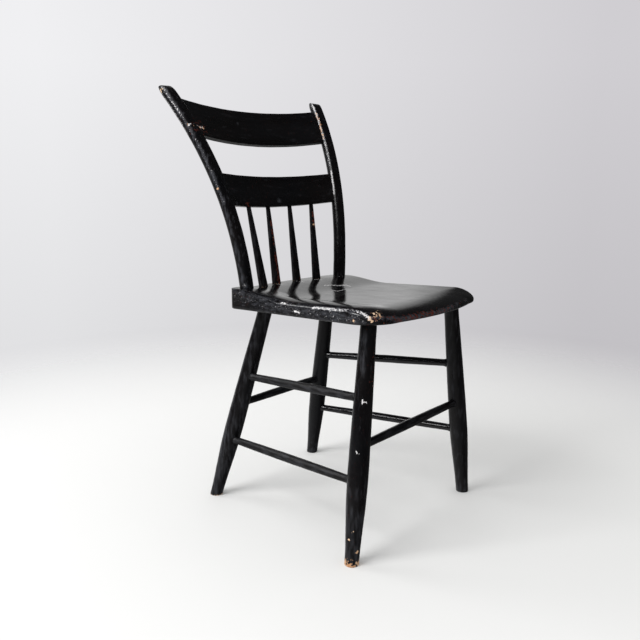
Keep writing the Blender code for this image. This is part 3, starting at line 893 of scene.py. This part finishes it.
# %% Wear on the front right leg
LEG_TOP_RUB = [(-0.161, -0.190, 0.400), (-0.168, -0.192, 0.345)]
LEG_RED = [(-0.142, -0.197, 0.40), (-0.156, -0.201, 0.30)]
LEG_SCRATCHES = (
    ([(-0.1700, -0.1965, 0.2922), (-0.1702, -0.1965, 0.2858)], 0.0017, 1.6),
    ([(-0.1650, -0.2030, 0.2922), (-0.1652, -0.2030, 0.2858)], 0.0017, 1.6),
    ([(-0.1700, -0.1965, 0.2888), (-0.1650, -0.2030, 0.2888)], 0.0013, 1.4),
    ([(-0.1866, -0.1945, 0.2074), (-0.1822, -0.1996, 0.1986)], 0.0018, 1.6),
    ([(-0.1590, -0.1940, 0.3960), (-0.1620, -0.1915, 0.3905)], 0.0030, 0.9),
    ([(-0.1600, -0.1935, 0.3800), (-0.1640, -0.1905, 0.3740)], 0.0030, 0.8),
)
wear(
    legs["front_right"],
    scuff=[0.08, streak(LEG_TOP_RUB, 0.016, 0.38), below(0.24, 0.16, 0.23)],
    red=[0.04, streak(LEG_RED, 0.012, 0.24)],
    bare=[
        spot((-0.1995, -0.2018, 0.0641), 0.003),
        spot((-0.2026, -0.1956, 0.0484), 0.004),
        spot((-0.1957, -0.2079, 0.0273), 0.005),
        below(0.017, 0.015, 0.80),
    ],
    pale=[streak(path, radius, depth) for path, radius, depth in LEG_SCRATCHES],
)

# %% Wear and painted light on the other legs and the stretchers
# The rear right leg's side towards the lamp: grey speckled wear, and painted light that makes this half
# lighter.
LIT_SPECKLED_SIDE = [(-0.1330, 0.1300, 0.4000), (-0.1760, 0.1900, 0.0300)]
dust = below(0.10, 0.10, 0.25)
sawn_edge = below(0.004, 0.004, 0.55)
wear(legs["rear_right"], scuff=[0.18, dust, streak(LIT_SPECKLED_SIDE, 0.022, 0.58)], bare=[sawn_edge])
wear(legs["rear_left"], scuff=[0.05, dust])
wear(legs["front_left"], scuff=[0.12, dust], bare=[spot((0.2060, -0.1950, 0.0060), 0.008, 0.9)])
for rod in (*side_rods.values(), *cross_rods.values()):
    # Round each joint the scuff is rubbed paint and also painted light over the shade where rod meets leg.
    joints = [spot(point, 0.030, 0.6) for point in end_middles(rod.name.removeprefix("painted_"))]
    wear(rod, scuff=[0.17, *joints], red=[0.02])

# %% [markdown]
# ## Old black paint
# The finish is an oil paint, brushed on by hand over an older red. Oil paint is a smooth dielectric
# with an index near 1.5, so all its brightness comes from its gloss. The seat is polished by use,
# the rest is satin. Brush marks follow each piece, dust sits in them, and the wear maps uncover a
# grey rub, the red coat and the wood. Real bristle marks are 0.5 to 1 mm apart and real dust is finer
# still. Neither would show from here, so both are drawn three to four times coarser.

# %% Colours of the paint and sizes of its marks
BLACK = "#040406"
FADED_BLACK = "#0a0b0f"
BROWNED_BLACK = "#140c0a"
RUBBED_GREY = "#868993"
OLD_RED = "#4a1c13"
BARE_WOOD = "#a26a3c"
CHIPPED_CREAM = "#dcc4a6"
# The pale colour is scratched paint, and on some edges a painted highlight.
WORN_AND_HIGHLIGHT_PALE = "#cfcdce"
CLOUD = 0.090
PATCH = 0.024
CHIP = 0.0042
DUST = 0.0022
SMUDGE = 0.0050
BRUSH_MARK = 0.0035
LUMP = 0.010
NOISE_FROM = 0.30
NOISE_TO = 0.70
BROWNING = 0.35
POLISH_SPREAD = 0.05
DULLEST = 0.7
BRUSH_DEPTH = 0.00006
CHIP_DEPTH = -0.00025
print("marks in mm", [size * 1000 for size in (CLOUD, PATCH, CHIP, DUST, SMUDGE, BRUSH_MARK, LUMP)])


# %% The paint's shader
def old_paint(name, roughness, index, grain, rub_strength, lumps):
    """Worn black paint, whose pale marks also paint highlights. grain is under 1 along the way the brush
    went; lumps are in metres.
    """
    material = bpy.data.materials.new(name)
    material.use_nodes = True
    tree = material.node_tree
    tree.nodes.clear()
    place = add(tree, "ShaderNodeTexCoord").outputs["Object"]
    along = add(tree, "ShaderNodeMapping", {"Vector": place, "Scale": grain}).outputs["Vector"]
    pattern = {}
    for title, size, vector in (
        ("cloud", CLOUD, place),
        ("patch", PATCH, along),
        ("chip", CHIP, place),
        ("dust", DUST, place),
        ("smudge", SMUDGE, along),
        ("brush", BRUSH_MARK, along),
        ("lump", LUMP, place),
    ):
        grains = {"Vector": vector, "Scale": 1 / size, "Detail": 3.0}
        raw = add(tree, "ShaderNodeTexNoise", grains).outputs["Fac"]
        spread = {"Value": raw, "From Min": NOISE_FROM, "From Max": NOISE_TO}
        pattern[title] = add(tree, "ShaderNodeMapRange", spread).outputs["Result"]

    shown = {}
    for layer, grit, break_up, edge in (
        ("scuff", "smudge", 0.3, 1.00),
        ("red", "chip", 1.0, 0.15),
        ("bare", "chip", 1.0, 0.08),
        ("pale", "dust", 1.0, 0.30),
    ):
        worn = add(tree, "ShaderNodeAttribute", attribute_name=layer).outputs["Fac"]
        broken = {0: pattern[grit], 1: break_up, 2: worn}
        over = add(tree, "ShaderNodeMath", broken, operation="MULTIPLY_ADD").outputs[0]
        step = {"Value": over, "From Min": break_up, "From Max": break_up + edge}
        shown[layer] = add(tree, "ShaderNodeMapRange", step).outputs["Result"]

    share = {0: shown["scuff"], 1: rub_strength}
    rub = add(tree, "ShaderNodeMath", share, operation="MULTIPLY").outputs[0]
    share = {0: pattern["cloud"], 1: BROWNING}
    browning = add(tree, "ShaderNodeMath", share, operation="MULTIPLY").outputs[0]
    wood = add(
        tree,
        "ShaderNodeMix",
        {"Factor": pattern["patch"], "A": colour(BARE_WOOD), "B": colour(CHIPPED_CREAM)},
        data_type="RGBA",
    ).outputs["Result"]
    tint = colour(BLACK)
    for factor, layer_colour in (
        (pattern["patch"], colour(FADED_BLACK)),
        (browning, colour(BROWNED_BLACK)),
        (rub, colour(RUBBED_GREY)),
        (shown["red"], colour(OLD_RED)),
        (shown["bare"], wood),
        (shown["pale"], colour(WORN_AND_HIGHLIGHT_PALE)),
    ):
        coats = {"Factor": factor, "A": tint, "B": layer_colour}
        tint = add(tree, "ShaderNodeMix", coats, data_type="RGBA").outputs["Result"]

    dulled = rub
    for layer in ("bare", "pale"):
        either = {0: shown[layer], 1: dulled}
        dulled = add(tree, "ShaderNodeMath", either, operation="MAXIMUM").outputs[0]
    smoother, rougher = roughness - POLISH_SPREAD, roughness + POLISH_SPREAD
    patchy = {"Value": pattern["patch"], "To Min": smoother, "To Max": rougher}
    polish = add(tree, "ShaderNodeMapRange", patchy).outputs["Result"]
    worn_off = {"Value": dulled, "To Min": polish, "To Max": DULLEST}
    gloss = add(tree, "ShaderNodeMapRange", worn_off).outputs["Result"]
    relief = ((pattern["lump"], lumps), (pattern["brush"], BRUSH_DEPTH), (shown["bare"], CHIP_DEPTH))
    normal = None
    for raised, depth in relief:
        height = {"Height": raised, "Distance": abs(depth)}
        if normal is not None:
            height["Normal"] = normal
        normal = add(tree, "ShaderNodeBump", height, invert=depth < 0).outputs["Normal"]
    looks = {"Base Color": tint, "Roughness": gloss, "Normal": normal, "IOR": index}
    shader = add(tree, "ShaderNodeBsdfPrincipled", looks)
    add(tree, "ShaderNodeOutputMaterial", {"Surface": shader.outputs["BSDF"]})
    return material


# %% [markdown]
# ## One paint in nine states
# Sound oil paint has an index of 1.50. Where dust and fine cracks scatter part of the gloss away, a
# lower index stands for that. The rub strength says how grey a scuff gets, and the lumps how much
# the reflections waver.

# %% Paint the pieces
UPRIGHT = (1.0, 1.0, 0.2)
FRONT_TO_BACK = (1.0, 0.15, 1.0)


def paint(pieces, name, **state):
    """Gives the pieces one paint, in the state that its values describe."""
    material = old_paint(name, **state)
    for piece in pieces:
        piece.data.materials.append(material)
    print(name, "on", len(pieces), "pieces", state)


# Polished by sitting: dark where nothing pale is mirrored, with a broad clear sheen where it is.
paint([seat], "polished_seat_paint",
      roughness=0.16, index=1.50, grain=(1.0, 0.4, 1.0), rub_strength=0.5, lumps=0.00004)
# Satin: a soft line of light runs down each leg, and lumps make it waver.
paint(legs.values(), "satin_leg_paint",
      roughness=0.29, index=1.38, grain=UPRIGHT, rub_strength=0.4, lumps=0.0003)
# Dust on the rods of the near side spreads the light into an even dark grey.
near_rods = [side_rods["upper_right"], side_rods["lower_right"]]
paint(near_rods, "dusty_side_stretcher_paint",
      roughness=0.48, index=1.42, grain=FRONT_TO_BACK, rub_strength=0.5, lumps=0.0002)
# The rods of the far side are clean, so a narrow bright line lies along their tops.
far_rods = [side_rods["upper_left"], side_rods["lower_left"]]
paint(far_rods, "polished_side_stretcher_paint",
      roughness=0.15, index=1.50, grain=FRONT_TO_BACK, rub_strength=0.3, lumps=0.0002)
# Shoes and dust have dulled the front and rear rods to a dim satin.
paint(cross_rods.values(), "satin_cross_stretcher_paint",
      roughness=0.30, index=1.36, grain=(0.15, 1.0, 1.0), rub_strength=0.3, lumps=0.0002)
# Hands have rubbed the posts, so their scuffs turn a paler grey than elsewhere.
paint(posts.values(), "rubbed_post_paint",
      roughness=0.28, index=1.36, grain=(1.0, 1.0, 0.35), rub_strength=0.6, lumps=0.0003)
# The spindles and rails keep a plain dim satin, which leaves their shapes to be read by outline.
paint(spindles.values(), "satin_spindle_paint",
      roughness=0.30, index=1.36, grain=UPRIGHT, rub_strength=0.3, lumps=0.0002)
paint(rails.values(), "satin_rail_paint",
      roughness=0.30, index=1.38, grain=(0.12, 1.0, 1.0), rub_strength=0.3, lumps=0.0002)
# Dust lies thick on the rough end of a peg and makes it a small pale dot.
paint(pegs.values(), "dusty_peg_paint",
      roughness=0.45, index=1.45, grain=(1.0, 1.0, 1.0), rub_strength=0.8, lumps=0.0001)

# %% [markdown]
# ## Floor and light
# The chair stands on a pale painted floor. A disc fades out at its rim into the pale surroundings,
# so there is no horizon to see. One large soft lamp stands to the left of the picture and throws
# long soft shadows to the right, while light from all round the room fills them. Black gloss shows
# whatever is round it, so in reflections the surroundings are pale behind the chair, as a paper
# backdrop would be, and dim on the camera's side. The disc itself is left out of reflections,
# because the surroundings already carry the light of the ground.

# %% Floor
FLOOR_RADIUS = 1.95
FLOOR_FADE = 1.3
FLOOR_COLOUR = "#dfdfde"

floor_shape = bmesh.new()
bmesh.ops.create_circle(floor_shape, cap_ends=True, radius=FLOOR_RADIUS, segments=128)
floor_mesh = bpy.data.meshes.new("floor")
floor_shape.to_mesh(floor_mesh)
floor_shape.free()
floor = bpy.data.objects.new("floor", floor_mesh)
bpy.context.scene.collection.objects.link(floor)
floor.visible_glossy = False

floor_paint = bpy.data.materials.new("pale_floor_paint")
floor_paint.use_nodes = True
tree = floor_paint.node_tree
tree.nodes.clear()
from_middle = add(
    tree, "ShaderNodeVectorMath", {0: add(tree, "ShaderNodeTexCoord").outputs["Object"]}, operation="LENGTH"
).outputs["Value"]
fade = add(
    tree,
    "ShaderNodeMapRange",
    {"Value": from_middle, "From Min": FLOOR_RADIUS - FLOOR_FADE, "From Max": FLOOR_RADIUS},
    interpolation_type="SMOOTHSTEP",
).outputs["Result"]
matt = add(tree, "ShaderNodeBsdfPrincipled", {"Base Color": colour(FLOOR_COLOUR), "Roughness": 0.6})
clear = add(tree, "ShaderNodeBsdfTransparent")
mixed = add(tree, "ShaderNodeMixShader", {0: fade, 1: matt.outputs[0], 2: clear.outputs[0]})
add(tree, "ShaderNodeOutputMaterial", {"Surface": mixed.outputs[0]})
floor_mesh.materials.append(floor_paint)
print("floor radius", FLOOR_RADIUS, "m, whole out to", round(FLOOR_RADIUS - FLOOR_FADE, 2), "m")

# %% [markdown]
# ## The room round the chair
# The camera sees a plain pale wall, with painted shade that makes it a little darker to the right and
# near the floor. The paint mirrors a glowing patch behind the chair, the lit ground and little else,
# and the light that the matt parts feel is even. So the surroundings answer each kind of ray by itself.

# %% Levels of the surroundings
PALE_LEFT = "#f0f0f2"
PALE_RIGHT = "#d0ced2"
LOW_SHADE = 0.87
PICTURE_RIGHT = (0.644, -0.765, 0.0)
GLOW_TOWARDS = (0.765, 0.644, 0.0)
GLOW_LIGHT = 0.85
LEFT_SHARE = 0.70
ROOM_LIGHT = 0.82
FLOOR_LIGHT = 0.65
SHADED_FLOOR_LIGHT = 0.08
DIM_LIGHT = 0.04

# %% What the camera sees
world = bpy.data.worlds.new("studio")
bpy.context.scene.world = world
world.use_nodes = True
tree = world.node_tree
tree.nodes.clear()
direction = add(tree, "ShaderNodeTexCoord").outputs["Generated"]
height = add(tree, "ShaderNodeSeparateXYZ", {0: direction}).outputs["Z"]
sideways = add(
    tree, "ShaderNodeVectorMath", {0: direction, 1: PICTURE_RIGHT}, operation="DOT_PRODUCT"
).outputs["Value"]
from_left = {"Value": sideways, "From Min": -0.35, "From Max": 0.35}
across = add(tree, "ShaderNodeMapRange", from_left).outputs["Result"]
# Painted shade: the wall darkens to the right.
walls = {"Factor": across, "A": colour(PALE_LEFT), "B": colour(PALE_RIGHT)}
pale = add(tree, "ShaderNodeMix", walls, data_type="RGBA").outputs["Result"]
# Painted shade: the wall darkens near the floor.
from_floor = {"Value": height, "From Min": -0.2, "From Max": 0.15, "To Min": LOW_SHADE}
shade = add(tree, "ShaderNodeMapRange", from_floor).outputs["Result"]
seen = add(tree, "ShaderNodeBackground", {"Color": pale, "Strength": shade})
print("wall", PALE_LEFT, "to", PALE_RIGHT)

# %% What the paint mirrors
towards = add(
    tree, "ShaderNodeVectorMath", {0: direction, 1: GLOW_TOWARDS}, operation="DOT_PRODUCT"
).outputs["Value"]
level = add(tree, "ShaderNodeValue").outputs[0]
level.default_value = GLOW_LIGHT
for value, start, stop in ((towards, 0.35, 0.65), (height, 0.54, 0.38), (sideways, 0.225, 0.100)):
    border = {"Value": value, "From Min": start, "From Max": stop}
    share = add(tree, "ShaderNodeMapRange", border, interpolation_type="SMOOTHSTEP").outputs["Result"]
    level = add(tree, "ShaderNodeMath", {0: level, 1: share}, operation="MULTIPLY").outputs[0]
from_lamp = {"Value": sideways, "From Min": -0.6, "From Max": 0.5}
from_lamp |= {"To Min": FLOOR_LIGHT, "To Max": SHADED_FLOOR_LIGHT}
lit_ground = add(tree, "ShaderNodeMapRange", from_lamp).outputs["Result"]
downwards = {"Value": height, "From Min": -0.1, "From Max": -0.3, "To Max": lit_ground}
ground = add(tree, "ShaderNodeMapRange", downwards).outputs["Result"]
for least in (ground, DIM_LIGHT):
    level = add(tree, "ShaderNodeMath", {0: level, 1: least}, operation="MAXIMUM").outputs[0]
to_left = {"Value": sideways, "From Min": -0.12, "From Max": 0.12, "To Min": LEFT_SHARE}
left = add(tree, "ShaderNodeMapRange", to_left).outputs["Result"]
level = add(tree, "ShaderNodeMath", {0: level, 1: left}, operation="MULTIPLY").outputs[0]
print("mirrored light from", DIM_LIGHT, "to", GLOW_LIGHT)

# %% Which ray gets which light
ray = add(tree, "ShaderNodeLightPath")
even = {"Value": ray.outputs["Is Diffuse Ray"], "To Min": level, "To Max": ROOM_LIGHT}
level = add(tree, "ShaderNodeMapRange", even).outputs["Result"]
felt = add(tree, "ShaderNodeBackground", {"Strength": level})
felt.inputs["Color"].default_value = (1.0, 1.0, 1.0, 1.0)
by_ray = {0: ray.outputs["Is Camera Ray"], 1: felt.outputs[0], 2: seen.outputs[0]}
both = add(tree, "ShaderNodeMixShader", by_ray)
add(tree, "ShaderNodeOutputWorld", {"Surface": both.outputs[0]})
print("even light on matt parts", ROOM_LIGHT)

# %% Lamps
MIDDLE = Vector((0, 0, 0.4))


def soft_lamp(name, place, size, power):
    """A square soft box that looks at the middle of the chair."""
    light = bpy.data.lights.new(name, "AREA")
    light.size = size
    light.energy = power
    lamp = bpy.data.objects.new(name, light)
    lamp.location = place
    lamp.rotation_euler = (MIDDLE - Vector(place)).to_track_quat("-Z", "Y").to_euler()
    bpy.context.scene.collection.objects.link(lamp)
    return lamp


lamps = (
    soft_lamp("key", place=(-4.2, 1.4, 3.6), size=3.0, power=255),
    soft_lamp("rim", place=(-0.9, 2.4, 2.2), size=1.0, power=15),
)
print("lamps in watts", {lamp.name: lamp.data.energy for lamp in lamps})
